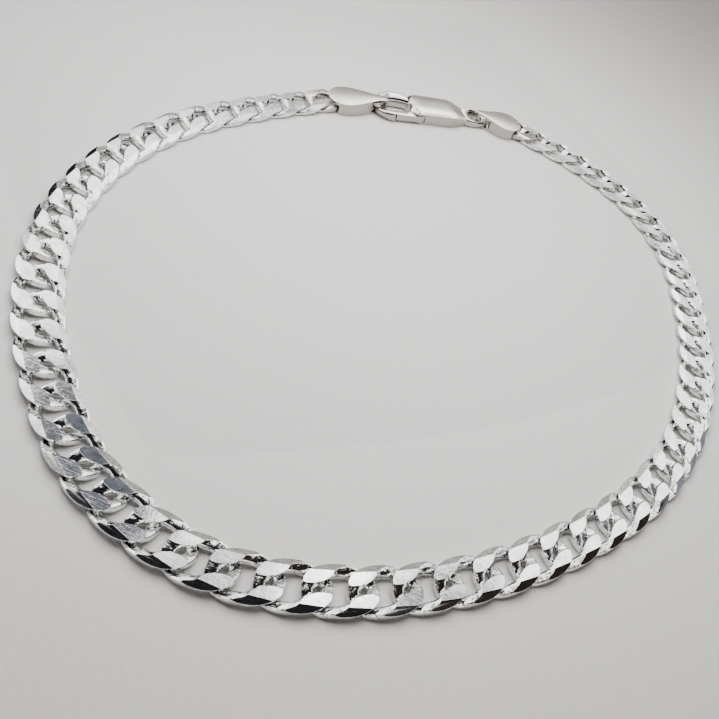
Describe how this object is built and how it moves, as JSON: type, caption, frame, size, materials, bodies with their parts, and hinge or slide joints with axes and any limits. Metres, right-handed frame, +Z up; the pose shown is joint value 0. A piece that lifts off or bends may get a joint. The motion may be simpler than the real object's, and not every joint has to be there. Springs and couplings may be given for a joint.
{
  "type": "link bracelet",
  "caption": "Flat curb link bracelet lying closed in a loop, with bevelled links, spoon-shaped end caps and a lobster clasp with a sprung lever.",
  "frame": {"origin": "under the middle of the loop, on the surface that the bracelet lies on", "axes": "+Z up from the surface, the clasp at the back towards +Y, the front of the loop towards -Y"},
  "size_m": [0.0653, 0.0764, 0.0018],
  "materials": {
    "link_silver": "polished",
    "cap_silver": "brushed",
    "clasp_silver": "satin"
  },
  "bodies": {
    "bracelet": {"chain": "link_silver", "left_end_cap": "cap_silver", "right_end_cap": "cap_silver", "clasp_body": "clasp_silver", "lever_pin": "clasp_silver"},
    "lever": {"clasp_lever": "clasp_silver"}
  },
  "joints": [
    {"name": "lever_hinge", "type": "hinge", "parent": "bracelet", "child": "lever", "pos_m": [-0.00895, 0.02887, 0.00075], "axis": [0, 0, -1], "range_deg": [0, 25], "stiffness_Nm_per_rad": 0.0004, "springref_deg": -17.19}
  ]
}
